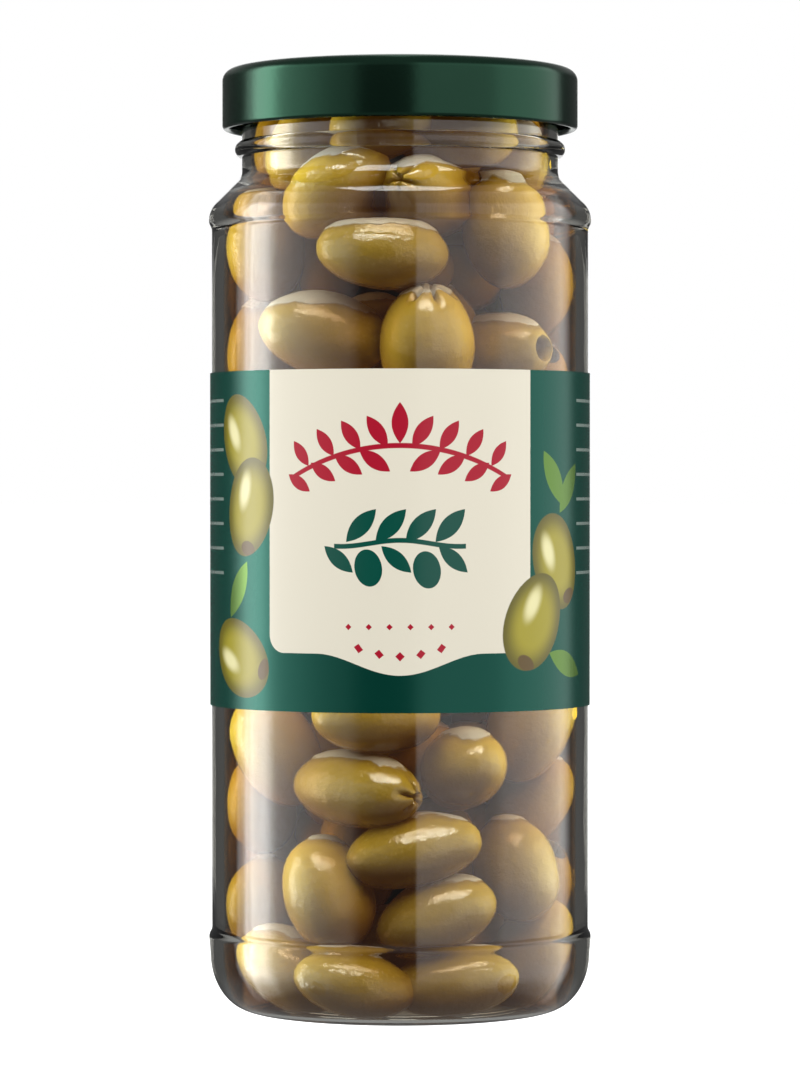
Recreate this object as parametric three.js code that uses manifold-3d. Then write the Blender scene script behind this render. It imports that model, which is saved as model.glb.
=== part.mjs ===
import * as THREE from "three";
import { mergeVertices } from "three/addons/utils/BufferGeometryUtils.js";
import Module from "manifold-3d";

const wasm = await Module();
wasm.setup();

// Glass jar, in millimetres
const PANEL_RADIUS = 31.9;
const PANEL_FOOT = 14.2;
const PANEL_HEAD = 131.6;
const RIDGE_RADIUS = 32.4;
const HEEL_RIDGE_HEIGHT = 12.3;
const SHOULDER_RIDGE_HEIGHT = 133.5;
const RIDGE_EASE = 1;
const HEEL_RADIUS = 32.2;
const HEEL_RISE = 9.9;
const FOOT_RING_OUTER = 25;
const FOOT_RING_INNER = 20.5;
const PUSH_UP = 2;
const SHOULDER_ROUND = 4.2;
const NECK_ROUND = 2.5;
const NECK_RADIUS = 26.8;
const BEAD_RADIUS = 28;
const BEAD_HEIGHT = 145.5;
const BEAD_HALF_HEIGHT = 1.35;
const RIM_HEIGHT = 157.7;
const RIM_ROUND = 0.9;

// Inside of the glass
const BORE_RADIUS = 24.4;
const BORE_FOOT = 141.4;
const INNER_RADIUS = 29.8;
const INNER_HEAD = 132.8;
const INNER_SHOULDER_PULL = 4.4;
const INNER_HEEL_RISE = 10.2;
const FLOOR_RADIUS = 22.4;
const FLOOR_EDGE = 3;
const FLOOR_CENTRE = 4.3;

// Ribs of the mouth that the lid grips
const RIB_COUNT = 4;
const RIB_RADIUS = 0.9;
const RIB_TOP = 154.6;
const RIB_DROP = 2.6;
const RIB_SWEEP = THREE.MathUtils.degToRad(62);
const RIB_STEPS = 6;
const RIB_SIDES = 6;

// Pressed metal lid
const LID_RADIUS = 30.1;
const LID_TOP = 159.05;
const LID_FOOT = 148.8;
const LID_CORNER = 2;
const SHEET = 0.5;
const CURL_WIDTH = 1.35;
const CURL_HEIGHT = 1.6;
const SEAL_HEIGHT = 158.05;
const SEAL_INNER = 23.2;
const RECESS_RADIUS = 22.8;
const RECESS_DEPTH = 0.9;
const STEP_WIDTH = 0.8;
const BUTTON_RADIUS = 9;
const BUTTON_RISE = 0.45;
const LUG_COUNT = 4;
const LUG_INNER = 27.5;
const LUG_HEIGHT = 1;
const LUG_LIFT = 0.5;
const LUG_SWEEP = THREE.MathUtils.degToRad(16);

// Paper label, wound once round with a glued lap at the back
const LABEL_INNER = 32.05;
const LABEL_SHEET = 0.14;
const LABEL_FOOT = 51.65;
const LABEL_HEAD = 107.65;
const LAP_LIFT = 0.2;
const LAP_ANGLE = THREE.MathUtils.degToRad(10);
const LABEL_STEPS = 74;

// Heap of olives
const HEAP_GAP = 0.3;
const HEAP_HEAD = 156.5;
const CORE_RADIUS = 18.5;
const CORE_FOOT = 6;
const CORE_HEAD = 150;
const CORE_NECK_RADIUS = 13.5;
const OLIVE_SIDES = 7;
const OLIVE_RINGS = 5;
const END_REACH = 0.5;
const END_GIRTH = 0.76;
const SETTLE_STEPS = 70;
const PRESS = 0.25;
const HEAP_SEED = 20261;
const FRONT_HOLD = 0.12;

// Fineness of the turned shapes
const TURN_SIDES = 40;
const CORE_SIDES = 12;
const CURVE_STEPS = 3;

// Olives against the front glass: across, height, lean, turn of the right-hand or upper end
// towards the front, length and width
const FRONT_OLIVES = [
  [-15, 145.5, 70, 0, 19, 13.5],
  [9.5, 146, 4, 0, 20, 13.5],
  [-7.5, 139, 68, 10, 20, 12.6],
  [4.5, 138.2, -14, -50, 20, 12.6],
  [17.1, 131, 101, 14, 19, 13.4],
  [17.5, 142.5, 80, 0, 18, 12],
  [-22.5, 126.6, 88, 0, 18.5, 13],
  [-2.7, 126.9, -4, 3, 21.4, 12.6],
  [-13.3, 114.8, -12, 0, 21.5, 13.4],
  [3.7, 113.6, 88, 24, 20.5, 15.6],
  [18.6, 110.9, 4, 38, 20, 13],
  [23.2, 123, 88, 0, 18.5, 13],
  [-23, 111.6, 85, 0, 19, 13],
  [-22.2, 40.6, 116, 0, 20, 13.4],
  [-5.4, 38.4, -5, 14, 21.8, 12.6],
  [11.1, 41.7, 30, 66, 20, 13.6],
  [22.3, 46, 72, 0, 20.5, 13.2],
  [23, 34.4, 52, 0, 20, 12.6],
  [-5.6, 51, 0, 0, 21, 13],
  [-23.3, 31.5, 96, 0, 17, 12],
  [2.5, 27.8, 12, 4, 22.5, 12],
  [-22.5, 18.8, 88, 0, 17.5, 13],
  [-11.8, 19.6, 106, 0, 20.5, 15],
  [20.8, 22.2, 106, 6, 18.5, 13.6],
  [6.9, 16.8, 22, 6, 20.5, 12.4],
  [22, 11, 58, 0, 19, 12],
  [-9.6, 9.2, -14, 4, 20, 12],
  [11.3, 8.9, 6, 4, 21, 12],
  [-19.5, 9.6, -28, 20, 19, 12],
];

// Olives round the rest of the glass, in rows: height and the number in the row
const BACK_ROWS = [
  [10, 4],
  [22, 5],
  [34, 4],
  [46, 5],
  [112, 5],
  [124, 4],
  [136, 5],
  [146, 3],
];
const BACK_START = THREE.MathUtils.degToRad(102);
const BACK_SWEEP = THREE.MathUtils.degToRad(156);
const BACK_JITTER = 3;
const LENGTH_RANGE = [18.5, 21.5];
const WIDTH_RANGE = [12.2, 14.2];

/** Solid of revolution about the height axis from points of radius and height. */
function turned(points, sides = TURN_SIDES) {
  return new THREE.LatheGeometry(points, sides).rotateX(Math.PI / 2);
}

/** Closed body of a geometry, ready to be joined or cut. */
function toBody(geometry) {
  const bare = geometry.index ? geometry.clone() : geometry;
  bare.deleteAttribute("normal");
  bare.deleteAttribute("uv");
  const welded = mergeVertices(bare, 1e-4);
  return new wasm.Manifold(new wasm.Mesh({
    numProp: 3,
    vertProperties: new Float32Array(welded.attributes.position.array),
    triVerts: new Uint32Array(welded.index.array),
  }));
}

/** Geometry of a joined body. */
function toGeometry(body) {
  const mesh = body.getMesh();
  const geometry = new THREE.BufferGeometry();
  geometry.setAttribute("position", new THREE.BufferAttribute(mesh.vertProperties, 3));
  geometry.setIndex(new THREE.BufferAttribute(mesh.triVerts, 1));
  geometry.computeVertexNormals();
  return geometry;
}

function named(name, geometry, color, roughness, metalness) {
  const material = new THREE.MeshStandardMaterial({ color, roughness, metalness });
  const mesh = new THREE.Mesh(geometry, material);
  mesh.name = name;
  return mesh;
}

/** Outside of the glass from the middle of the base to the rim, then the inside back down. */
function jarOutline() {
  const slant = Math.SQRT1_2;
  const roundEnd = RIDGE_RADIUS - SHOULDER_ROUND * (1 - slant);
  const coneFoot = SHOULDER_RIDGE_HEIGHT + SHOULDER_ROUND * slant;
  const coneEnd = NECK_RADIUS + NECK_ROUND * (1 - slant);
  const neckFoot = coneFoot + roundEnd - coneEnd + NECK_ROUND * slant;
  const rimMiddle = (NECK_RADIUS + BORE_RADIUS) / 2;
  const rimFoot = RIM_HEIGHT - RIM_ROUND;
  const path = new THREE.Path();
  path.moveTo(0, PUSH_UP);
  path.quadraticCurveTo(0.8 * FOOT_RING_INNER, PUSH_UP, FOOT_RING_INNER, 0);
  path.lineTo(FOOT_RING_OUTER, 0);
  path.absellipse(FOOT_RING_OUTER, HEEL_RISE, HEEL_RADIUS - FOOT_RING_OUTER, HEEL_RISE, -Math.PI / 2, 0);
  path.lineTo(RIDGE_RADIUS, HEEL_RIDGE_HEIGHT);
  path.bezierCurveTo(RIDGE_RADIUS, HEEL_RIDGE_HEIGHT + RIDGE_EASE,
    PANEL_RADIUS, PANEL_FOOT - RIDGE_EASE, PANEL_RADIUS, PANEL_FOOT);
  path.lineTo(PANEL_RADIUS, PANEL_HEAD);
  path.bezierCurveTo(PANEL_RADIUS, PANEL_HEAD + RIDGE_EASE,
    RIDGE_RADIUS, SHOULDER_RIDGE_HEIGHT - RIDGE_EASE, RIDGE_RADIUS, SHOULDER_RIDGE_HEIGHT);
  path.absarc(RIDGE_RADIUS - SHOULDER_ROUND, SHOULDER_RIDGE_HEIGHT, SHOULDER_ROUND, 0, Math.PI / 4);
  path.absarc(NECK_RADIUS + NECK_ROUND, neckFoot, NECK_ROUND, 1.25 * Math.PI, Math.PI, true);
  path.lineTo(NECK_RADIUS, BEAD_HEIGHT - BEAD_HALF_HEIGHT);
  path.absellipse(NECK_RADIUS, BEAD_HEIGHT, BEAD_RADIUS - NECK_RADIUS, BEAD_HALF_HEIGHT,
    -Math.PI / 2, Math.PI / 2);
  path.lineTo(NECK_RADIUS, rimFoot);
  path.absellipse(rimMiddle, rimFoot, NECK_RADIUS - rimMiddle, RIM_ROUND, 0, Math.PI);
  path.lineTo(BORE_RADIUS, BORE_FOOT);
  insideDown(path, 0);
  return path.getPoints(CURVE_STEPS);
}

/** Inside of the jar from the foot of its bore to the middle of the floor, moved in by a gap. */
function insideDown(path, gap) {
  const radius = INNER_RADIUS - gap;
  const floor = FLOOR_EDGE + gap;
  const heelTop = floor + INNER_HEEL_RISE;
  path.bezierCurveTo(BORE_RADIUS - gap, BORE_FOOT - INNER_SHOULDER_PULL,
    radius, INNER_HEAD + INNER_SHOULDER_PULL, radius, INNER_HEAD);
  path.lineTo(radius, heelTop);
  path.absellipse(FLOOR_RADIUS, heelTop, radius - FLOOR_RADIUS, INNER_HEEL_RISE, 0, -Math.PI / 2, true);
  path.quadraticCurveTo(0.7 * FLOOR_RADIUS, FLOOR_CENTRE + gap, 0, FLOOR_CENTRE + gap);
}

/** One sloping rib of the mouth. */
class RibLine extends THREE.Curve {
  constructor(start) {
    super();
    this.start = start;
  }

  getPoint(t) {
    const angle = this.start + t * RIB_SWEEP;
    const height = RIB_TOP - t * RIB_DROP;
    return new THREE.Vector3(NECK_RADIUS * Math.cos(angle), NECK_RADIUS * Math.sin(angle), height);
  }
}

function jarGeometry() {
  let body = toBody(turned(jarOutline()));
  const section = new THREE.Shape(new THREE.EllipseCurve(0, 0, RIB_RADIUS, RIB_RADIUS).getPoints(RIB_SIDES));
  for (let i = 0; i < RIB_COUNT; i += 1) {
    const extrudePath = new RibLine((i * 2 * Math.PI) / RIB_COUNT);
    const rib = new THREE.ExtrudeGeometry(section, { steps: RIB_STEPS, bevelEnabled: false, extrudePath });
    body = body.add(toBody(rib));
  }
  return toGeometry(body);
}

/** Underside of the lid from its middle, down inside the skirt, round the curl and over the top. */
function lidOutline() {
  const inside = LID_RADIUS - SHEET;
  const panel = LID_TOP - RECESS_DEPTH;
  const curlMiddle = LID_RADIUS - CURL_WIDTH / 2;
  const curlFoot = LID_FOOT + CURL_HEIGHT / 2;
  const curlTop = LID_FOOT + CURL_HEIGHT;
  const path = new THREE.Path();
  path.moveTo(0, panel + BUTTON_RISE - SHEET);
  path.lineTo(BUTTON_RADIUS, panel + BUTTON_RISE - SHEET);
  path.lineTo(BUTTON_RADIUS + STEP_WIDTH, panel - SHEET);
  path.lineTo(RECESS_RADIUS - SHEET, panel - SHEET);
  path.lineTo(SEAL_INNER, SEAL_HEIGHT);
  path.lineTo(inside - LID_CORNER, SEAL_HEIGHT);
  path.quadraticCurveTo(inside, SEAL_HEIGHT, inside, SEAL_HEIGHT - LID_CORNER);
  path.lineTo(inside, curlTop + SHEET);
  path.lineTo(LID_RADIUS - CURL_WIDTH, curlTop);
  path.absellipse(curlMiddle, curlFoot, CURL_WIDTH / 2, CURL_HEIGHT / 2, Math.PI, 2 * Math.PI);
  path.absarc(LID_RADIUS - LID_CORNER, LID_TOP - LID_CORNER, LID_CORNER, 0, Math.PI / 2);
  path.lineTo(RECESS_RADIUS + STEP_WIDTH, LID_TOP);
  path.lineTo(RECESS_RADIUS, panel);
  path.lineTo(BUTTON_RADIUS + STEP_WIDTH, panel);
  path.lineTo(BUTTON_RADIUS, panel + BUTTON_RISE);
  path.lineTo(0, panel + BUTTON_RISE);
  return path.getPoints(CURVE_STEPS);
}

function lidGeometry() {
  let body = toBody(turned(lidOutline()));
  const outer = LID_RADIUS - CURL_WIDTH / 2;
  for (let i = 0; i < LUG_COUNT; i += 1) {
    const start = ((i + 0.5) * 2 * Math.PI) / LUG_COUNT;
    const shape = new THREE.Shape();
    shape.absarc(0, 0, outer, start, start + LUG_SWEEP);
    shape.absarc(0, 0, LUG_INNER, start + LUG_SWEEP, start, true);
    const lug = new THREE.ExtrudeGeometry(shape, {
      depth: LUG_HEIGHT, bevelEnabled: false, curveSegments: CURVE_STEPS,
    });
    body = body.add(toBody(lug.translate(0, 0, LID_FOOT + LUG_LIFT)));
  }
  return toGeometry(body);
}

/** Sleeve of paper whose end rises over its start in a lap at the back. */
function labelGeometry() {
  const edge = (radius) => {
    const points = [];
    const turn = 2 * Math.PI + LAP_ANGLE;
    for (let i = 0; i <= LABEL_STEPS; i += 1) {
      const angle = (turn * i) / LABEL_STEPS;
      const rise = THREE.MathUtils.smoothstep(angle, 2 * Math.PI - LAP_ANGLE, 2 * Math.PI - LAP_ANGLE / 3);
      const here = radius + LAP_LIFT * rise;
      const way = angle + Math.PI / 2 - LAP_ANGLE / 2;
      points.push(new THREE.Vector2(here * Math.cos(way), here * Math.sin(way)));
    }
    return points;
  };
  const outline = edge(LABEL_INNER + LABEL_SHEET).concat(edge(LABEL_INNER).reverse());
  const depth = LABEL_HEAD - LABEL_FOOT;
  const geometry = new THREE.ExtrudeGeometry(new THREE.Shape(outline), { depth, bevelEnabled: false });
  return geometry.translate(0, 0, LABEL_FOOT);
}

function randomFrom(seed) {
  let state = seed;
  return () => {
    state = (state * 16807) % 2147483647;
    return state / 2147483647;
  };
}

/** Radius of the space inside the glass at a height. */
function spaceRadius(height) {
  const heelTop = FLOOR_EDGE + INNER_HEEL_RISE;
  if (height < heelTop) {
    const fall = Math.min(1, (heelTop - height) / INNER_HEEL_RISE);
    return FLOOR_RADIUS + (INNER_RADIUS - FLOOR_RADIUS) * Math.sqrt(1 - fall * fall);
  }
  const rise = THREE.MathUtils.smoothstep(height, INNER_HEAD, BORE_FOOT);
  return INNER_RADIUS + (BORE_RADIUS - INNER_RADIUS) * rise;
}

/** An olive by its middle, its long axis and its sizes; hold is how far a push moves it. */
function olive(centre, bearing, lean, turn, length, width, hold) {
  const along = new THREE.Vector3(Math.cos(bearing), Math.sin(bearing), 0);
  const out = new THREE.Vector3(Math.sin(bearing), -Math.cos(bearing), 0);
  const axis = along.multiplyScalar(Math.cos(lean) * Math.cos(turn));
  axis.addScaledVector(out, Math.sin(turn));
  axis.z = Math.sin(lean) * Math.cos(turn);
  return { centre, axis, length, width, hold };
}

/** The three balls that stand for an olive while the heap settles. */
function balls(item) {
  const reach = (END_REACH * item.length) / 2;
  return [-1, 0, 1].map((side) => ({
    at: item.centre.clone().addScaledVector(item.axis, side * reach),
    radius: (item.width / 2) * (side === 0 ? 1 : END_GIRTH),
  }));
}

/** Moves an olive back inside the glass. */
function contain(item) {
  for (const ball of balls(item)) {
    const room = spaceRadius(ball.at.z) - HEAP_GAP - ball.radius;
    const away = Math.hypot(ball.at.x, ball.at.y);
    if (away > room) {
      item.centre.x -= ball.at.x * (1 - room / away);
      item.centre.y -= ball.at.y * (1 - room / away);
    }
    item.centre.z += Math.max(0, FLOOR_CENTRE + HEAP_GAP + ball.radius - ball.at.z);
  }
}

/** Pushes two olives apart where their balls meet. */
function part(first, second, pushes) {
  for (const a of balls(first)) {
    for (const b of balls(second)) {
      const away = a.at.clone().sub(b.at);
      const meet = a.radius + b.radius - away.length();
      if (meet > 0) {
        away.setLength(meet / 4);
        pushes.get(first).add(away);
        pushes.get(second).sub(away);
      }
    }
  }
}

/** Lets the olives make room for each other while they stay against the glass. */
function settle(items) {
  for (let step = 0; step < SETTLE_STEPS; step += 1) {
    const pushes = new Map(items.map((item) => [item, new THREE.Vector3()]));
    items.forEach((item, i) => items.slice(i + 1).forEach((other) => part(item, other, pushes)));
    for (const item of items) {
      const outward = new THREE.Vector3(item.centre.x, item.centre.y, 0).setLength(PRESS);
      item.centre.addScaledVector(pushes.get(item), item.hold).add(outward);
      contain(item);
    }
  }
  return items;
}

function frontOlives() {
  return FRONT_OLIVES.map(([across, height, lean, turn, length, width]) => {
    const reach = spaceRadius(height) - width / 2 - HEAP_GAP;
    const depth = Math.sqrt(Math.max(0, reach * reach - across * across));
    const centre = new THREE.Vector3(across, -depth, height);
    const radians = THREE.MathUtils.degToRad;
    return olive(centre, 0, radians(lean), radians(turn), length, width, FRONT_HOLD);
  });
}

function backOlives() {
  const random = randomFrom(HEAP_SEED);
  const between = ([low, high]) => low + (high - low) * random();
  const items = [];
  for (const [height, count] of BACK_ROWS) {
    for (let i = 0; i < count; i += 1) {
      const bearing = BACK_START + (BACK_SWEEP * (i + 0.5)) / count;
      const lean = Math.PI * random();
      const turn = 0.8 * (random() - 0.5);
      const length = between(LENGTH_RANGE);
      const width = between(WIDTH_RANGE);
      const reach = spaceRadius(height) - width / 2 - HEAP_GAP;
      const lift = BACK_JITTER * (random() - 0.5);
      const centre = new THREE.Vector3(reach * Math.sin(bearing), -reach * Math.cos(bearing), height + lift);
      items.push(olive(centre, bearing, lean, turn, length, width, 1));
    }
  }
  return items;
}

function oliveGeometry(item) {
  const geometry = new THREE.SphereGeometry(0.5, OLIVE_SIDES, OLIVE_RINGS);
  geometry.scale(item.width, item.length, item.width);
  const turn = new THREE.Quaternion().setFromUnitVectors(new THREE.Vector3(0, 1, 0), item.axis);
  geometry.applyQuaternion(turn);
  return geometry.translate(item.centre.x, item.centre.y, item.centre.z);
}

/** Core of the heap, narrower where it stands in the neck. */
function coreOutline() {
  const path = new THREE.Path();
  path.moveTo(0, CORE_FOOT);
  path.lineTo(CORE_RADIUS, CORE_FOOT);
  path.lineTo(CORE_RADIUS, INNER_HEAD);
  path.lineTo(CORE_NECK_RADIUS, BORE_FOOT);
  path.lineTo(CORE_NECK_RADIUS, CORE_HEAD);
  path.lineTo(0, CORE_HEAD);
  return path.getPoints(CURVE_STEPS);
}

/** The space that the heap may take, clear of the glass by the gap, from the floor up. */
function spaceOutline() {
  const path = new THREE.Path();
  path.moveTo(0, HEAP_HEAD);
  path.lineTo(BORE_RADIUS - HEAP_GAP, HEAP_HEAD);
  path.lineTo(BORE_RADIUS - HEAP_GAP, BORE_FOOT);
  insideDown(path, HEAP_GAP);
  return path.getPoints(CURVE_STEPS).reverse();
}

function heapGeometry() {
  let body = toBody(turned(coreOutline(), CORE_SIDES));
  for (const item of settle(frontOlives().concat(backOlives()))) {
    body = body.add(toBody(oliveGeometry(item)));
  }
  body = body.intersect(toBody(turned(spaceOutline())));
  const pieces = body.decompose().sort((a, b) => b.volume() - a.volume());
  return toGeometry(pieces[0]);
}

const jar = new THREE.Group();
jar.name = "olive_jar";
jar.add(named("glass_jar", jarGeometry(), "#d9dedb", 0.05, 0));
jar.add(named("lid", lidGeometry(), "#10382b", 0.25, 0.3));
jar.add(named("label", labelGeometry(), "#04493c", 0.45, 0));
jar.add(named("olives", heapGeometry(), "#a98f3c", 0.35, 0));

export default jar;
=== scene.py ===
"""Looks of a glass jar of green olives in brine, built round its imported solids."""

import math

import bmesh
import bpy
from bpy.props import FloatProperty, FloatVectorProperty, IntProperty, PointerProperty
from mathutils import Matrix, Vector, noise


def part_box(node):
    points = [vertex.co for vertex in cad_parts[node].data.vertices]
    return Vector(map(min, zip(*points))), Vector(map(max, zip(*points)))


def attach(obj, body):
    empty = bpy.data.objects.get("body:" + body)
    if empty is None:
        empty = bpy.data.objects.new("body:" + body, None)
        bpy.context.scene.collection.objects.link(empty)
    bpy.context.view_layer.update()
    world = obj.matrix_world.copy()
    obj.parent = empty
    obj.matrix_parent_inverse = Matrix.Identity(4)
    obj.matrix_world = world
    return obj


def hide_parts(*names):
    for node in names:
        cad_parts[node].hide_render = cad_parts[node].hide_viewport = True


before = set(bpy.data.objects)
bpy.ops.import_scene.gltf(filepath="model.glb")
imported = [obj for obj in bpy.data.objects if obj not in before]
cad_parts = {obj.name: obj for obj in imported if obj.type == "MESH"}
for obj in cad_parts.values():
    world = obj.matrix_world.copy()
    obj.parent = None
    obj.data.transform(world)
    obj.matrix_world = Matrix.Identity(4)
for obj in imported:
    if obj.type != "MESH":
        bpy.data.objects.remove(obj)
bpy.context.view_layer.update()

bl_info = {
    "name": "Olive jar",
    "version": (1, 0, 0),
    "blender": (4, 5, 0),
    "location": "View3D > Sidebar > Olive jar",
    "description": "Builds a shut glass jar of green olives with a metal lid and a paper label",
    "category": "Object",
}

MM = 0.001
MERGE_DISTANCE = 1e-6

# Heights and roundings of the glass that follow its mould, in metres
RIDGE_EASE = 1 * MM
SHOULDER_ROUND = 4.2 * MM
NECK_ROUND = 2.5 * MM
BEAD_HALF_HEIGHT = 1.35 * MM
RIM_ROUND = 0.9 * MM
HEEL_RADIUS = 32.2 * MM
HEEL_RISE = 9.9 * MM
FOOT_RING_OUTER = 25 * MM
FOOT_RING_INNER = 20.5 * MM
PUSH_UP = 2 * MM
BORE_FOOT = 142.4 * MM
INNER_HEAD = 133.8 * MM
INNER_SHOULDER_PULL = 4.4 * MM
INNER_HEEL_RISE = 8.4 * MM
FLOOR_RADIUS = 25.4 * MM
FLOOR_EDGE = 1.4 * MM
FLOOR_CENTRE = 3.1 * MM

# Lid details, in metres
LID_CORNER = 2 * MM
LID_SHEET = 0.5 * MM
CURL_WIDTH = 1.35 * MM
CURL_HEIGHT = 1.6 * MM
RECESS_RADIUS = 22.8 * MM
RECESS_DEPTH = 0.9 * MM
STEP_WIDTH = 0.8 * MM
BUTTON_RADIUS = 9 * MM
BUTTON_RISE = 0.45 * MM

# The heap of olives and how it settles, in millimetres
HEAP_GAP = 0.3
HEAP_HEAD = 154
END_REACH = 0.5
END_GIRTH = 0.76
SETTLE_STEPS = 70
PRESS = 0.25
HEAP_SEED = 20261
FRONT_HOLD = 0.12
BACK_START = math.radians(102)
BACK_SWEEP = math.radians(156)
BACK_JITTER = 3
BACK_TURN = 0.8
LENGTH_RANGE = (18.5, 21.5)
WIDTH_RANGE = (12.2, 14.2)

# Olives against the front glass: across, height, lean, turn of the right-hand or upper end
# towards the front, length, width and what that end shows
PLAIN, HOLE, CUT = range(3)
FRONT_OLIVES = (
    (-19.5, 147, 85, 0, 15, 11, PLAIN),
    (19.5, 147.5, 85, 0, 15, 11, PLAIN),
    (-14, 145.5, 70, 0, 19, 13.5, PLAIN),
    (12.5, 146, 4, 0, 20, 13.5, PLAIN),
    (-1, 148, 8, 0, 17, 11.5, PLAIN),
    (-8, 138.6, 38, 10, 20, 13, PLAIN),
    (4.5, 137.6, 158, 58, 20, 12.8, CUT),
    (17, 133.6, 98, 6, 19, 14, PLAIN),
    (17.5, 142.5, 80, 0, 18, 12, PLAIN),
    (-22.3, 128.6, 88, 0, 18.5, 13, PLAIN),
    (-2.7, 126.9, -4, 3, 21.4, 12.6, PLAIN),
    (-13.5, 113.6, -12, 0, 21.5, 13.6, PLAIN),
    (1.2, 113.6, 88, 24, 20.5, 15.6, CUT),
    (18.6, 110.9, 4, 38, 20, 13, HOLE),
    (23.2, 123, 88, 0, 18.5, 13, PLAIN),
    (-23, 111.6, 85, 0, 19, 13, PLAIN),
    (-22.2, 40.6, 116, 0, 20, 13.4, PLAIN),
    (-2.6, 37.8, -5, 36, 24.5, 12.6, CUT),
    (11.1, 41.7, 30, 66, 20, 13.6, PLAIN),
    (22.3, 46, 72, 0, 20.5, 13.2, PLAIN),
    (23, 34.4, 52, 0, 20, 12.6, PLAIN),
    (-5.6, 51, 0, 0, 21, 13, PLAIN),
    (-23.3, 31.5, 96, 0, 17, 12, PLAIN),
    (4.1, 26.9, 12, 4, 22.5, 12, PLAIN),
    (-22.5, 18.8, 88, 0, 17.5, 13, PLAIN),
    (-10.2, 17, 106, 0, 20, 14.6, PLAIN),
    (21, 19, 106, 6, 18.5, 13.6, PLAIN),
    (9.2, 15.2, 22, 6, 20.5, 12.4, PLAIN),
    (22, 11, 58, 0, 19, 12, PLAIN),
    (-13.8, 6.8, -10, 4, 20, 10.4, PLAIN),
    (10.4, 6.8, 6, 4, 21, 10.6, PLAIN),
    (-19.5, 9.6, -28, 20, 19, 12, HOLE),
)

# Olives round the rest of the glass, in rows: height and the number in the row
BACK_ROWS = ((10, 4), (22, 5), (34, 4), (46, 5), (112, 5), (124, 4), (136, 5), (146, 3))

# Olives behind those at the glass: height of the lowest and the highest row, rows, number in a row,
# distance from the axis, how far the height varies, length and width
DEEP_FOOT = 14
DEEP_HEAD = 140
DEEP_ROWS = 10
DEEP_COUNT = 5
DEEP_OUT = 11.5
DEEP_JITTER = 4
DEEP_LENGTH = 20
DEEP_WIDTH = 13.2
DEEP_SEED = 517


def colour(name, description, value):
    """A colour that a user may change."""
    return FloatVectorProperty(
        name=name, description=description, subtype="COLOR", size=3, min=0, max=1, default=value
    )


def length(name, description, value):
    """A size in metres that a user may change."""
    return FloatProperty(name=name, description=description, unit="LENGTH", precision=5, default=value)


def amount(name, description, value):
    """A plain number that a user may change."""
    return FloatProperty(name=name, description=description, min=0, default=value)


class OliveJarGlass(bpy.types.PropertyGroup):
    """Sizes of the glass."""

    panel_radius: length("Panel radius", "Outside of the glass behind the label", 31.9 * MM)
    panel_foot: length("Panel foot", "Height where the label panel begins", 14.2 * MM)
    panel_head: length("Panel head", "Height where the label panel ends", 131.6 * MM)
    ridge_radius: length("Ridge radius", "Outside of the ridges that guard the label", 32.4 * MM)
    heel_ridge: length("Heel ridge", "Height of the lower ridge", 12.3 * MM)
    shoulder_ridge: length("Shoulder ridge", "Height of the upper ridge", 133.5 * MM)
    neck_radius: length("Neck radius", "Outside of the neck", 26.8 * MM)
    bead_radius: length("Bead radius", "Outside of the bead round the neck", 28 * MM)
    bead_height: length("Bead height", "Height of the bead round the neck", 145.5 * MM)
    rim_height: length("Rim height", "Height of the rim of the mouth", 157.7 * MM)
    bore_radius: length("Bore radius", "Inside of the neck", 25.3 * MM)
    inner_radius: length("Inner radius", "Inside of the body", 29.8 * MM)
    tint: colour("Tint", "Colour of the glass", (0.93, 0.955, 0.94))


class OliveJarLid(bpy.types.PropertyGroup):
    """Sizes and colour of the lid."""

    radius: length("Radius", "Outside of the skirt", 30.1 * MM)
    top: length("Top", "Height of the top edge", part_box("lid")[1].z)
    foot: length("Foot", "Height of the curled lower edge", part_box("lid")[0].z)
    lacquer: colour("Lacquer", "Colour of the lacquer", (0.016, 0.048, 0.030))


class OliveJarLabel(bpy.types.PropertyGroup):
    """Sizes and colours of the label."""

    radius: length("Radius", "Outside of the paper", 32.19 * MM)
    sheet: length("Sheet", "Thickness of the paper", 0.14 * MM)
    foot: length("Foot", "Height of the lower edge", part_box("label")[0].z)
    head: length("Head", "Height of the upper edge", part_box("label")[1].z)
    field: colour("Field", "Colour of the ground", (0.0012, 0.066, 0.046))
    panel: colour("Panel", "Colour of the front panel", (0.76, 0.715, 0.59))
    accent: colour("Accent", "Colour of the sprig and dots", (0.38, 0.008, 0.026))
    fruit: colour("Fruit", "Colour of the printed olives", (0.35, 0.30, 0.025))


class OliveJarOlives(bpy.types.PropertyGroup):
    """Colours of the olives and the brine."""

    ripe: colour("Ripe", "Colour of the yellower olives", (0.36, 0.265, 0.030))
    green: colour("Green", "Colour of the greener olives", (0.23, 0.172, 0.014))
    # Painted shade: the lower sides of the olives turn to this browner, darker colour.
    under_shade: colour("Under", "Colour of the lower sides of the olives", (0.130, 0.066, 0.010))
    # Painted shade: this dark colour fills the holes and cuts, and the band below the film's edge.
    pit: colour("Pit", "Colour inside the holes and cuts", (0.055, 0.028, 0.008))
    # The film colour is partly a painted highlight on the upper sides of the olives.
    film: colour("Film", "Colour of the pale film on the upper sides", (0.35, 0.38, 0.365))
    # Painted glow: the olive skin gives off this colour as light in its shade.
    painted_glow_and_shade: colour("Murk", "Light that the cloudy brine lends to the shade", (0.032, 0.012, 0.001))
    # Painted shade: a dark piece in the middle of the heap stands for the depth between the olives.
    core: colour("Core", "Colour of the depth between the olives", (0.045, 0.026, 0.010))
    brine: colour("Brine", "Colour that the brine lets through", (0.62, 0.43, 0.20))
    brine_depth: amount("Brine depth", "How strongly the brine colours, per metre", 185)
    sides: IntProperty(name="Sides", description="Faces round an olive", min=8, default=48)


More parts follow.
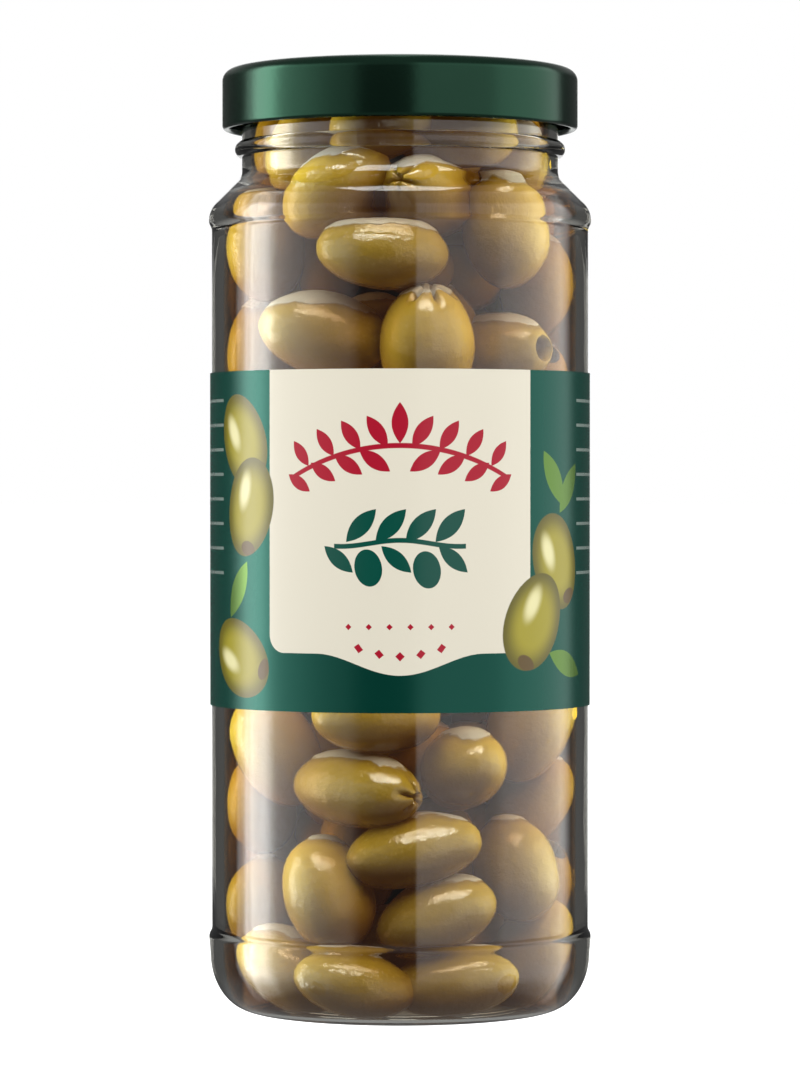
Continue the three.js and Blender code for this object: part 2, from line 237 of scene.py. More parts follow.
class OliveJarStage(bpy.types.PropertyGroup):
    """Camera and light."""

    camera_away: length("Camera distance", "Distance of the camera from the axis", 749.6 * MM)
    camera_height: length("Camera height", "Height of the camera", 87.6 * MM)
    camera_lens: FloatProperty(name="Lens", description="Focal length in millimetres", default=149.1)
    camera_dip: FloatProperty(
        name="Dip", description="Downward tilt of the camera", subtype="ANGLE", default=math.radians(0.538)
    )
    floor: colour("Floor", "Colour of the floor", (0.86, 0.86, 0.86))
    key: amount("Key", "Brightness of the high light on the olives", 4.8)
    spark: amount("Spark", "Brightness of the light that shows in the wet skin of the olives", 11)
    side: amount("Side", "Brightness of the light on the olives close to the sides", 17)
    fill: amount("Fill", "Brightness of the warm light on the olives from the right", 4.5)
    warmth: colour("Warmth", "Colour of the light that the olives throw on each other", (1, 0.6, 0.22))
    glow: colour("Glow", "Colour of the light close to the sides", (1, 0.97, 0.85))
    front: amount("Front", "Brightness of the light on paper, lid and floor", 7.9)


class OliveJarSettings(bpy.types.PropertyGroup):
    """All that a user may change."""

    glass: PointerProperty(type=OliveJarGlass)
    lid: PointerProperty(type=OliveJarLid)
    label: PointerProperty(type=OliveJarLabel)
    olives: PointerProperty(type=OliveJarOlives)
    stage: PointerProperty(type=OliveJarStage)


class Value:
    """A number in a node tree: Python arithmetic on it adds Math nodes."""

    def __init__(self, tree, socket):
        self.tree = tree
        self.socket = socket

    def math(self, operation, *others, first=None):
        node = self.tree.nodes.new("ShaderNodeMath")
        node.operation = operation
        for slot, item in zip(node.inputs, (self if first is None else first, *others)):
            if isinstance(item, Value):
                self.tree.links.new(item.socket, slot)
            else:
                slot.default_value = item
        return Value(self.tree, node.outputs[0])

    def __add__(self, other):
        return self.math("ADD", other)

    __radd__ = __add__

    def __sub__(self, other):
        return self.math("SUBTRACT", other)

    def __rsub__(self, other):
        return self.math("SUBTRACT", self, first=other)

    def __mul__(self, other):
        return self.math("MULTIPLY", other)

    __rmul__ = __mul__

    def __truediv__(self, other):
        return self.math("DIVIDE", other)

    def __abs__(self):
        return self.math("ABSOLUTE")

    def root(self):
        return self.math("SQRT")

    def cos(self):
        return self.math("COSINE")

    def low(self, other):
        return self.math("MINIMUM", other)

    def high(self, other):
        return self.math("MAXIMUM", other)

    def repeat(self, pitch):
        """Runs from minus half to plus half a pitch, again and again."""
        return self.math("WRAP", pitch / 2, -pitch / 2)

    def ease(self, low, high):
        """Rises smoothly from 0 at low to 1 at high, or falls where low is the larger."""
        node = self.tree.nodes.new("ShaderNodeMapRange")
        node.interpolation_type = "SMOOTHSTEP"
        self.tree.links.new(self.socket, node.inputs["Value"])
        for name, bound in (("From Min", min(low, high)), ("From Max", max(low, high))):
            node.inputs[name].default_value = bound
        node.inputs["To Min"].default_value = 0 if low < high else 1
        node.inputs["To Max"].default_value = 1 if low < high else 0
        return Value(self.tree, node.outputs["Result"])


class Nodes:
    """A node tree and the one way in which nodes are added to it."""

    def __init__(self, tree):
        self.tree = tree
        tree.nodes.clear()

    def join(self, slot, item):
        """Links a value or socket to a slot, or sets the slot to a number or colour."""
        if isinstance(item, Value):
            self.tree.links.new(item.socket, slot)
        elif isinstance(item, bpy.types.NodeSocket):
            self.tree.links.new(item, slot)
        elif isinstance(item, (int, float)):
            slot.default_value = item
        else:
            slot.default_value = tuple(item) + (1,) * (len(slot.default_value) - len(item))

    def node(self, kind, settings=(), sockets=()):
        """A node of a kind, its settings made first and then its sockets filled."""
        node = self.tree.nodes.new("ShaderNode" + kind)
        for name, setting in dict(settings).items():
            setattr(node, name, setting)
        for name, item in dict(sockets).items():
            self.join(node.inputs[name], item)
        return node

    def value(self, socket):
        return Value(self.tree, socket)


class Finish(Nodes):
    """A material and the nodes that make it."""

    def __init__(self, name):
        self.material = bpy.data.materials.new(name)
        self.material.use_nodes = True
        super().__init__(self.material.node_tree)
        self.output = self.node("OutputMaterial")

    def place(self):
        """Object coordinates as a vector socket."""
        return self.node("TexCoord").outputs["Object"]

    def split(self, vector):
        """The three parts of a vector as values."""
        parts = self.node("SeparateXYZ", sockets={"Vector": vector})
        return [self.value(parts.outputs[axis]) for axis in "XYZ"]

    def noise(self, scale, detail=3, roughness=0.5):
        """Even clouds from 0 to 1, of so many to the metre."""
        sockets = {"Vector": self.place(), "Scale": scale, "Detail": detail, "Roughness": roughness}
        return self.value(self.node("TexNoise", sockets=sockets).outputs["Fac"])

    def mix(self, factor, first, second):
        """A colour between two, by a factor."""
        mixer = self.node("Mix", {"data_type": "RGBA"}, {0: factor, 6: first, 7: second})
        return mixer.outputs[2]

    def bump(self, height, distance, strength=1):
        sockets = {"Height": height, "Distance": distance, "Strength": strength}
        return self.node("Bump", sockets=sockets).outputs["Normal"]

    def surface(self, **sockets):
        """The main shader, on the material's surface; spaces in names are written as underscores."""
        named = {name.replace("_", " "): item for name, item in sockets.items()}
        self.join(self.output.inputs["Surface"], self.node("BsdfPrincipled", sockets=named).outputs[0])


def arc(middle, radii, start, end, steps):
    """Points of a round stretch of an outline."""
    turns = [start + (end - start) * i / steps for i in range(steps + 1)]
    return [(middle[0] + radii[0] * math.cos(t), middle[1] + radii[1] * math.sin(t)) for t in turns]


def sweep(first, pull, push, last, steps):
    """Points of a smooth bend between two points, drawn towards two others."""
    points = []
    for i in range(steps + 1):
        t = i / steps
        weights = ((1 - t) ** 3, 3 * t * (1 - t) ** 2, 3 * t * t * (1 - t), t ** 3)
        pairs = zip(weights, (first, pull, push, last))
        points.append(tuple(map(sum, zip(*[(w * p[0], w * p[1]) for w, p in pairs]))))
    return points


def ladder(first, last, steps):
    """Points of a straight stretch."""
    return [tuple(a + (b - a) * i / steps for a, b in zip(first, last)) for i in range(steps + 1)]


def tidy_mesh(bm):
    """Merges doubles and turns the faces outwards."""
    bmesh.ops.remove_doubles(bm, verts=bm.verts, dist=MERGE_DISTANCE)
    bmesh.ops.recalc_face_normals(bm, faces=bm.faces)


def spin_outline(bm, outline, steps):
    """Turns an outline of radius and height once round the upright axis."""
    points = [outline[0]]
    for point in outline[1:]:
        if math.dist(point, points[-1]) > MERGE_DISTANCE:
            points.append(point)
    verts = [bm.verts.new((radius, 0, height)) for radius, height in points]
    edges = [bm.edges.new(pair) for pair in zip(verts, verts[1:])]
    bmesh.ops.spin(
        bm, geom=verts + edges, cent=(0, 0, 0), axis=(0, 0, 1), angle=math.tau, steps=steps, use_merge=True
    )
    tidy_mesh(bm)


def piece(name, bm, finish, node, sharp=math.radians(50)):
    """Makes the finished mesh an object that stands for a solid of the frame."""
    mesh = bpy.data.meshes.new(name)
    bm.to_mesh(mesh)
    bm.free()
    mesh.materials.append(finish.material)
    mesh.shade_smooth()
    mesh.set_sharp_from_angle(angle=sharp)
    obj = bpy.data.objects.new(name, mesh)
    bpy.context.scene.collection.objects.link(obj)
    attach(obj, "root")
    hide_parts(node)
    return obj


def inside_outline(s, reach):
    """Inside of the glass from the foot of the bore to the middle of the floor, moved out by a reach."""
    radius = s.inner_radius + reach
    floor = FLOOR_EDGE - reach
    heel_top = floor + INNER_HEEL_RISE
    bore = s.bore_radius + reach
    head = (radius, INNER_HEAD)
    points = sweep(
        (bore, BORE_FOOT), (bore, BORE_FOOT - INNER_SHOULDER_PULL),
        (radius, INNER_HEAD + INNER_SHOULDER_PULL), head, 16,
    )
    points += ladder(head, (radius, heel_top), 12)
    points += arc((FLOOR_RADIUS, heel_top), (radius - FLOOR_RADIUS, INNER_HEEL_RISE), 0, -math.pi / 2, 18)
    middle = FLOOR_CENTRE - reach
    bend = (0.7 * FLOOR_RADIUS, middle)
    points += sweep((FLOOR_RADIUS, floor), bend, bend, (0, middle), 12)
    return points


def jar_outline(s):
    """Outside of the glass from the middle of the base to the rim, then the inside back down."""
    slant = math.sqrt(0.5)
    round_end = s.ridge_radius - SHOULDER_ROUND * (1 - slant)
    cone_foot = s.shoulder_ridge + SHOULDER_ROUND * slant
    cone_end = s.neck_radius + NECK_ROUND * (1 - slant)
    neck_foot = cone_foot + round_end - cone_end + NECK_ROUND * slant
    rim_middle = (s.neck_radius + s.bore_radius) / 2
    rim_foot = s.rim_height - RIM_ROUND
    ridge, panel, neck = s.ridge_radius, s.panel_radius, s.neck_radius
    bend = (0.8 * FOOT_RING_INNER, PUSH_UP)
    points = sweep((0, PUSH_UP), bend, bend, (FOOT_RING_INNER, 0), 12)
    heel = (HEEL_RADIUS - FOOT_RING_OUTER, HEEL_RISE)
    points += arc((FOOT_RING_OUTER, HEEL_RISE), heel, -math.pi / 2, 0, 20)
    points += sweep(
        (ridge, s.heel_ridge), (ridge, s.heel_ridge + RIDGE_EASE),
        (panel, s.panel_foot - RIDGE_EASE), (panel, s.panel_foot), 8,
    )
    points += ladder((panel, s.panel_foot), (panel, s.panel_head), 12)
    points += sweep(
        (panel, s.panel_head), (panel, s.panel_head + RIDGE_EASE),
        (ridge, s.shoulder_ridge - RIDGE_EASE), (ridge, s.shoulder_ridge), 8,
    )
    points += arc((ridge - SHOULDER_ROUND, s.shoulder_ridge), (SHOULDER_ROUND,) * 2, 0, math.pi / 4, 10)
    points += arc((neck + NECK_ROUND, neck_foot), (NECK_ROUND,) * 2, 1.25 * math.pi, math.pi, 8)
    bead = (s.bead_radius - neck, BEAD_HALF_HEIGHT)
    points += arc((neck, s.bead_height), bead, -math.pi / 2, math.pi / 2, 14)
    points += arc((rim_middle, rim_foot), (neck - rim_middle, RIM_ROUND), 0, math.pi, 12)
    return points + inside_outline(s, 0)


def glass_finish(settings):
    """Clear glass with a faint ripple."""
    finish = Finish("clear_glass")
    ripple = finish.noise(55, detail=1)
    finish.surface(
        Base_Color=settings.glass.tint, Roughness=0, IOR=1.5, Transmission_Weight=1,
        Normal=finish.bump(ripple, 0.0004, 0.15),
    )
    return finish


class OLIVEJAR_OT_glass(bpy.types.Operator):
    """Builds the hollow glass"""

    bl_idname = "olivejar.glass"
    bl_label = "Glass"

    def execute(self, context):
        settings = context.scene.olive_jar
        bm = bmesh.new()
        spin_outline(bm, jar_outline(settings.glass), 160)
        jar = piece("jar_glass", bm, glass_finish(settings), "glass_jar", math.radians(80))
        jar.visible_shadow = False
        return {"FINISHED"}


def lid_outline(s):
    """Underside of the lid from its middle, down inside the skirt, round the curl and over the top."""
    inside = s.radius - LID_SHEET
    panel = s.top - RECESS_DEPTH
    button = panel + BUTTON_RISE
    seal = s.top - 2 * LID_SHEET
    curl_middle = s.radius - CURL_WIDTH / 2
    under_panel = panel - LID_SHEET
    points = [(0, button - LID_SHEET), (BUTTON_RADIUS, button - LID_SHEET)]
    points += [(BUTTON_RADIUS + STEP_WIDTH, under_panel), (RECESS_RADIUS - LID_SHEET, under_panel)]
    points += [(RECESS_RADIUS, seal), (inside - LID_CORNER, seal)]
    points += arc((inside - LID_CORNER, seal - LID_CORNER), (LID_CORNER,) * 2, math.pi / 2, 0, 6)
    points += [(inside, s.foot + CURL_HEIGHT + LID_SHEET), (s.radius - CURL_WIDTH, s.foot + CURL_HEIGHT)]
    points += arc(
        (curl_middle, s.foot + CURL_HEIGHT / 2), (CURL_WIDTH / 2, CURL_HEIGHT / 2), math.pi, math.tau, 14
    )
    points += arc((s.radius - LID_CORNER, s.top - LID_CORNER), (LID_CORNER,) * 2, 0, math.pi / 2, 12)
    step = RECESS_RADIUS + STEP_WIDTH
    points += sweep((step, s.top), (RECESS_RADIUS, s.top), (step, panel), (RECESS_RADIUS, panel), 8)
    edge = BUTTON_RADIUS + STEP_WIDTH
    points += sweep((edge, panel), (BUTTON_RADIUS, panel), (edge, button), (BUTTON_RADIUS, button), 8)
    return points + [(0, button)]


def lid_finish(settings):
    """Green lacquer on metal, with fine specks and slow changes in tone and polish."""
    finish = Finish("green_lacquer")
    speck = finish.noise(900, detail=2)
    cloud = finish.noise(60, detail=3)
    finish.surface(
        Base_Color=finish.mix(cloud, settings.lid.lacquer, [1.25 * part for part in settings.lid.lacquer]),
        Metallic=0.93, Roughness=0.14 + 0.1 * cloud, Normal=finish.bump(speck, 0.00004, 0.25),
    )
    return finish


class OLIVEJAR_OT_lid(bpy.types.Operator):
    """Builds the pressed metal lid"""

    bl_idname = "olivejar.lid"
    bl_label = "Lid"

    def execute(self, context):
        settings = context.scene.olive_jar
        bm = bmesh.new()
        spin_outline(bm, lid_outline(settings.lid), 144)
        piece("lid_shell", bm, lid_finish(settings), "lid")
        return {"FINISHED"}


LAP_ANGLE = math.radians(10)
LAP_LIFT = 0.2 * MM
LABEL_STEPS = 200
LABEL_ROWS = 14


def label_mesh(s):
    """A sheet wound once round, its end raised over its start in a lap at the back."""
    turn = math.tau + LAP_ANGLE
    bm = bmesh.new()
    bmesh.ops.create_grid(bm, x_segments=LABEL_STEPS, y_segments=LABEL_ROWS, size=0.5)
    for vert in bm.verts:
        angle = turn * (vert.co.x + 0.5)
        climb = (angle - math.tau + LAP_ANGLE) / (LAP_ANGLE * 2 / 3)
        climb = max(0, min(1, climb))
        radius = s.radius + LAP_LIFT * climb * climb * (3 - 2 * climb)
        way = angle + math.pi / 2 - LAP_ANGLE / 2
        height = s.foot + (s.head - s.foot) * (vert.co.y + 0.5)
        vert.co = (radius * math.cos(way), radius * math.sin(way), height)
    bmesh.ops.recalc_face_normals(bm, faces=bm.faces)
    if sum(face.normal.dot(face.calc_center_median()) for face in bm.faces) < 0:
        bmesh.ops.reverse_faces(bm, faces=bm.faces)
    bmesh.ops.solidify(bm, geom=bm.faces[:], thickness=s.sheet)
    return bm


# Print on the label, in millimetres round the paper from the front and up from its lower edge.
# A pair named for an edge, a stem or an end tells where the ink starts to fade in and where it is full
PANEL_HALF = 23.4
PANEL_FOOT = 9.6
PANEL_EDGE = 0.04
PANEL_CORNER = 3
TONGUE_HALF = 14.2
TONGUE_DROP = 3.5
LEAF_EDGE = (0, 0.05)
OVAL_EDGE = (0, 0.03)
DOT_EDGE = (0, 0.06)
SPRIG_CROWN = 43.5
SPRIG_FALL = 0.015
SPRIG_STEM = (0.5, 0.35)
SPRIG_END = (19, 18.8)
SPRIG_LEAVES = 4
SPRIG_PITCH = 4.4
SPRIG_START = 0.55
SPRIG_LEAF = (1.25, 3.1)
SPRIG_SHRINK = (0.07, 0.2)
SPRIG_UPPER_LEAF = (1.3, 2.4)
SPRIG_LOWER_LEAF = (1.7, -2.4)
SPRIG_LEAN = 0.6
SPRIG_TIP = ((0, 47.2), (1.4, 3.4), 0)
BRANCH_HEIGHT = 27.6
BRANCH_STEM = (0.45, 0.35)
BRANCH_END = (11, 10.9)
BRANCH_SWAY = 0.5
BRANCH_WAVE = 0.32
BRANCH_FRUIT = ((-5.2, 23.6), (4.4, 23.3))
BRANCH_FRUIT_RADII = (2.3, 3.1)
BRANCH_FRUIT_TILT = 0.2
# Leaves above and below the branch: places along it, height from it, radii and tilt
BRANCH_LEAVES = (
    ((-6.4, -1.5, 3.4, 8.3), 2.9, (1.5, 3.7), -0.75),
    ((-10.2, -0.6, 8.8), -2.6, (1.3, 3.3), 0.85),
)
DOT_PITCH = 3.4
DOT_SIZE = 0.8
DOT_HEIGHT = 10.6
DOT_SINK = 1.4
DOT_END = (8.6, 8.5)
SEED_SIZE = 0.55
SEED_HEIGHT = 14
SEED_END = (10.3, 10.2)
PRINTED_OLIVES = (
    ((-30.4, 44.5), (6, 8.2), 0.5),
    ((-28.6, 33.5), (6, 8.4), -0.25),
    ((-31.5, 8.5), (6.1, 8.4), 1.1),
    ((30.2, 24.5), (6.1, 8.3), 0.35),
    ((24.4, 14.6), (6.2, 8.6), -0.5),
)
PRINTED_LEAVES = (
    ((-31.6, 19.8), (2, 5.4), -0.5),
    ((29.4, 38.2), (2, 5.4), 0.55),
    ((33.8, 36.6), (1.9, 5), -0.6),
    ((33, 7.5), (2, 5.4), 1.2),
)
RULE_PITCH = 4.1
RULE_OFFSET = 2
RULE_STEM = (0.3, 0.2)
RULE_INNER_END = (37, 37.1)
RULE_OUTER_END = (74, 73.9)
RULES_FOOT_END = (19.9, 20)
RULES_HEAD_END = (52, 51.9)
LEAF_GREEN = (0.10, 0.20, 0.035)
FRUIT_LIGHT = (0.82, 0.77, 0.42)
FRUIT_PIT = (0.10, 0.06, 0.012)
RULE_PALE = (0.55, 0.66, 0.60)


def turned(u, v, middle, radii, tilt):
    """A place on the print across and along a tilted shape, from its middle and in its own radii."""
    du, dv = u - middle[0], v - middle[1]
    across = (du * math.cos(tilt) + dv * math.sin(tilt)) / radii[0]
    along = (dv * math.cos(tilt) - du * math.sin(tilt)) / radii[1]
    return across, along


def oval(u, v, middle, radii, tilt):
    """1 at the middle of a printed oval, 0 at its edge and below 0 outside, with its own two directions."""
    across, along = turned(u, v, middle, radii, tilt)
    return 1 - (across * across + along * along).root(), across, along


def leaf(u, v, middle, radii, tilt):
    """1 inside a printed leaf with two pointed ends."""
    across, along = turned(u, v, middle, radii, tilt)
    return (1 - along * along - abs(across)).ease(*LEAF_EDGE)


def panel_mask(u, v):
    """The front panel: straight sides, rounded lower corners and a soft tongue in the middle."""
    side = abs(u)
    wave = ((side.low(TONGUE_HALF) * (math.pi / TONGUE_HALF)).cos() * 0.5 + 0.5) * TONGUE_DROP
    bend = (side - (PANEL_HALF - PANEL_CORNER)).high(0)
    lift = PANEL_CORNER - (PANEL_CORNER ** 2 - (bend * bend).low(PANEL_CORNER ** 2)).root()
    sides = side.ease(PANEL_HALF + PANEL_EDGE, PANEL_HALF - PANEL_EDGE)
    return (v - PANEL_FOOT + wave - lift).ease(-PANEL_EDGE, PANEL_EDGE) * sides


def sprig_mask(u, v):
    """An arched stem with pairs of leaves."""
    side = abs(u)
    rise = v - SPRIG_CROWN + side * side * SPRIG_FALL
    mask = abs(rise).ease(*SPRIG_STEM) * side.ease(*SPRIG_END)
    for i in range(SPRIG_LEAVES):
        out = SPRIG_PITCH * (i + SPRIG_START)
        foot = SPRIG_CROWN - SPRIG_FALL * out * out
        size = [whole - shrink * i for whole, shrink in zip(SPRIG_LEAF, SPRIG_SHRINK)]
        above = (out + SPRIG_UPPER_LEAF[0], foot + SPRIG_UPPER_LEAF[1])
        below = (out + SPRIG_LOWER_LEAF[0], foot + SPRIG_LOWER_LEAF[1])
        mask = mask.high(leaf(side, v, above, size, -SPRIG_LEAN))
        mask = mask.high(leaf(side, v, below, size, SPRIG_LEAN + math.pi / 2))
    return mask.high(leaf(u, v, *SPRIG_TIP))


def branch_mask(u, v):
    """A level branch with leaves above it, and leaves and two olives below it."""
    sway = (u * BRANCH_WAVE).cos() * BRANCH_SWAY
    mask = abs(v - BRANCH_HEIGHT - sway).ease(*BRANCH_STEM) * abs(u).ease(*BRANCH_END)
    for places, height, radii, tilt in BRANCH_LEAVES:
        for out in places:
            mask = mask.high(leaf(u, v, (out, BRANCH_HEIGHT + height), radii, tilt))
    for middle in BRANCH_FRUIT:
        mask = mask.high(oval(u, v, middle, BRANCH_FRUIT_RADII, BRANCH_FRUIT_TILT)[0].ease(*OVAL_EDGE))
    return mask


def dots_mask(u, v):
    """A row of small lozenges that follows the tongue, and a level row of smaller ones above it."""
    side = abs(u)
    sink = (side * (math.pi / TONGUE_HALF)).cos() * DOT_SINK
    dots = (DOT_SIZE - abs(u.repeat(DOT_PITCH)) - abs(v - DOT_HEIGHT + sink)).ease(*DOT_EDGE)
    between = (u + DOT_PITCH / 2).repeat(DOT_PITCH)
    seeds = (SEED_SIZE - abs(between) - abs(v - SEED_HEIGHT)).ease(*DOT_EDGE)
    return (dots * side.ease(*DOT_END)).high(seeds * side.ease(*SEED_END))


def rules_mask(u, v):
    """Two blocks of thin level rules at the sides."""
    side = abs(u)
    lines = abs((v - RULE_OFFSET).repeat(RULE_PITCH)).ease(*RULE_STEM)
    width = side.ease(*RULE_INNER_END) * side.ease(*RULE_OUTER_END)
    return lines * width * v.ease(*RULES_FOOT_END) * v.ease(*RULES_HEAD_END)


def printed_olive(finish, fruit, place):
    """The colour of a printed olive with a highlight and a pit hole, and a mask of its outline."""
    inside, across, along = place
    skin = finish.mix(inside.ease(0, 0.55), [0.3 * part for part in fruit], fruit)
    off, up = across + 0.28, along - 0.28
    glow = (1 - off * off * 7 - up * up * 3).ease(0.1, 1)
    skin = finish.mix(glow * glow, skin, FRUIT_LIGHT)
    hole = oval(across, along, (0.25, -0.80), (0.34, 0.16), 0)[0].ease(0, 0.2)
    return finish.mix(hole, skin, FRUIT_PIT), inside.ease(*OVAL_EDGE)


def label_finish(settings):
    """Printed paper: its ground, the front panel with its motifs, olives, leaves and rules."""
    s = settings.label
    finish = Finish("printed_paper")
    x, y, z = finish.split(finish.place())
    u = x.math("ARCTAN2", y * -1) * (s.radius / MM)
    v = z / MM - s.foot / MM
    ground = s.field
    for middle, radii, tilt in PRINTED_LEAVES:
        ground = finish.mix(leaf(u, v, middle, radii, tilt), ground, LEAF_GREEN)
    panel = panel_mask(u, v)
    accent = sprig_mask(u, v).high(dots_mask(u, v))
    face = finish.mix(accent, s.panel, s.accent)
    face = finish.mix(branch_mask(u, v), face, s.field)
    paint = finish.mix(panel, ground, face)
    shine = (1 - panel) * 0.55
    for middle, radii, tilt in PRINTED_OLIVES:
        skin, own = printed_olive(finish, s.fruit, oval(u, v, middle, radii, tilt))
        paint = finish.mix(own, paint, skin)
        shine = shine * (1 - own)
    paint = finish.mix(rules_mask(u, v) * 0.6, paint, RULE_PALE)
    fibre = finish.noise(1500, detail=3)
    finish.surface(
        Base_Color=paint, Metallic=shine, Roughness=0.2 + 0.08 * fibre, Specular_IOR_Level=0.45,
        Normal=finish.bump(fibre, 0.00003, 0.2),
    )
    return finish


class OLIVEJAR_OT_label(bpy.types.Operator):
    """Builds the paper label with its print"""

    bl_idname = "olivejar.label"
    bl_label = "Label"

    def execute(self, context):
        settings = context.scene.olive_jar
        piece("paper_label", label_mesh(settings.label), label_finish(settings), "label")
        return {"FINISHED"}


class Olive:
    """An olive by its middle, long axis and sizes in millimetres; hold is how far a push moves it."""

    def __init__(self, centre, bearing, lean, turn, length, width, hold, end):
        along = Vector((math.cos(bearing), math.sin(bearing), 0))
        out = Vector((math.sin(bearing), -math.cos(bearing), 0))
        self.axis = along * math.cos(lean) * math.cos(turn) + out * math.sin(turn)
        self.axis.z = math.sin(lean) * math.cos(turn)
        self.centre = centre
        self.length = length
        self.width = width
        self.hold = hold
        self.end = end

    def balls(self):
        """The three balls that stand for the olive while the heap settles."""
        reach = END_REACH * self.length / 2
        return [
            (self.centre + self.axis * side * reach, self.width / 2 * (1 if side == 0 else END_GIRTH))
            for side in (-1, 0, 1)
        ]

    def contain(self, space):
        """Moves the olive back inside the glass."""
        for at, radius in self.balls():
            room = space(at.z) - HEAP_GAP - radius
            away = math.hypot(at.x, at.y)
            if away > room:
                self.centre.x -= at.x * (1 - room / away)
                self.centre.y -= at.y * (1 - room / away)
            self.centre.z += max(0, FLOOR_EDGE / MM + HEAP_GAP + radius - at.z)

    def duck(self):
        """Moves the olive down where its top would meet the lid."""
        self.centre.z -= max(0, max(at.z + radius for at, radius in self.balls()) - HEAP_HEAD)


def random_from(seed):
    """Repeatable draws from 0 to 1."""
    state = seed
    while True:
        state = (state * 16807) % 2147483647
        yield state / 2147483647


def glass_space(s):
    """A function that gives the radius inside the glass at a height, in millimetres."""
    inner, bore = s.inner_radius / MM, s.bore_radius / MM
    rise = INNER_HEEL_RISE / MM
    heel_top = FLOOR_EDGE / MM + rise
    floor = FLOOR_RADIUS / MM
    head, foot = INNER_HEAD / MM, BORE_FOOT / MM

    def space(height):
        if height < heel_top:
            fall = min(1, (heel_top - height) / rise)
            return floor + (inner - floor) * math.sqrt(1 - fall * fall)
        t = max(0, min(1, (height - head) / (foot - head)))
        return inner + (bore - inner) * t * t * (3 - 2 * t)

    return space


def push_apart(first, second, pushes, i, j):
    """Adds the pushes that part two olives where their balls meet."""
    if (first.centre - second.centre).length > (first.length + second.length) / 2:
        return
    for a, a_radius in first.balls():
        for b, b_radius in second.balls():
            away = a - b
            meet = a_radius + b_radius - away.length
            if meet > 0:
                away.length = meet / 4
                pushes[i] += away
                pushes[j] -= away


def settle(items, space):
    """Lets the olives make room for each other while they stay against the glass."""
    for _ in range(SETTLE_STEPS):
        pushes = [Vector() for _ in items]
        for i, first in enumerate(items):
            for j in range(i + 1, len(items)):
                push_apart(first, items[j], pushes, i, j)
        for item, push in zip(items, pushes):
            outward = Vector((item.centre.x, item.centre.y, 0)).normalized() * PRESS
            item.centre += push * item.hold + outward
            item.contain(space)
    for item in items:
        item.duck()
    return items


def front_olives(space):
    """The olives that are placed one by one against the front of the glass."""
    items = []
    for across, height, lean, turn, long, wide, end in FRONT_OLIVES:
        reach = space(height) - wide / 2 - HEAP_GAP
        depth = math.sqrt(max(0, reach * reach - across * across))
        centre = Vector((across, -depth, height))
        items.append(Olive(centre, 0, math.radians(lean), math.radians(turn), long, wide, FRONT_HOLD, end))
    return items


def back_olives(space):
    """The olives in rows round the rest of the glass."""
    draws = random_from(HEAP_SEED)
    items = []
    for height, count in BACK_ROWS:
        for i in range(count):
            bearing = BACK_START + BACK_SWEEP * (i + 0.5) / count
            lean = math.pi * next(draws)
            turn = BACK_TURN * (next(draws) - 0.5)
            long = LENGTH_RANGE[0] + (LENGTH_RANGE[1] - LENGTH_RANGE[0]) * next(draws)
            wide = WIDTH_RANGE[0] + (WIDTH_RANGE[1] - WIDTH_RANGE[0]) * next(draws)
            reach = space(height) - wide / 2 - HEAP_GAP
            lift = BACK_JITTER * (next(draws) - 0.5)
            centre = Vector((reach * math.sin(bearing), -reach * math.cos(bearing), height + lift))
            items.append(Olive(centre, bearing, lean, turn, long, wide, 1, HOLE))
    return items


def deep_olives():
    """Olives that show only in the gaps between those at the glass."""
    draws = random_from(DEEP_SEED)
    items = []
    for row in range(DEEP_ROWS):
        height = DEEP_FOOT + (DEEP_HEAD - DEEP_FOOT) * row / (DEEP_ROWS - 1)
        for i in range(DEEP_COUNT):
            bearing = math.tau * (i + 0.5 * (row % 2)) / DEEP_COUNT
            lift = DEEP_JITTER * (next(draws) - 0.5)
            centre = Vector((DEEP_OUT * math.sin(bearing), -DEEP_OUT * math.cos(bearing), height + lift))
            lean = math.pi * next(draws)
            items.append(Olive(centre, bearing, lean, 0, DEEP_LENGTH, DEEP_WIDTH, 0, PLAIN))
    return items


# Shape of an olive of half length 1 and half width 1, its end upwards
HOLE_OUTLINE = ((0, 0.42), (0.2, 0.44), (0.27, 0.56), (0.295, 0.76), (0.315, 0.88), (0.35, 0.925))
HOLE_ANGLE = math.radians(66)
HOLE_RADIUS = 0.33
HOLE_SHADE = 9
BODY_STEPS = 18
CUT_REACH = 0.55
CUT_DEPTH = 0.16
CUT_COUNT = 5
CUT_SHARPNESS = 10
CUT_SHADE = 0.8
CUT_MIDDLE = 1e-4

# Lumps and wrinkles of the skin: height in millimetres and how closely they follow each other
LUMP = 0.30
LUMP_PITCH = 0.16
WRINKLE = 0.06
WRINKLE_PITCH = 0.7
PATTERN_SHIFT = 100

# Pale film on the upper sides, partly a painted highlight along their top edges: its spread at the foot and
# the head of the heap, the smallest share of that an olive has, how its edge wanders, its height in
# millimetres and the width of its edge
FILM_SPREAD = (0.13, 0.48)
FILM_LEAST = 0.5
FILM_WAVER = 0.11
FILM_PITCH = 0.25
FILM_RISE = 0.25
FILM_EDGE = 0.06


def float_layer(bm, name):
    """A number on each vertex, which a material can read."""
    layers = bm.verts.layers.float
    return layers.get(name) or layers.new(name)


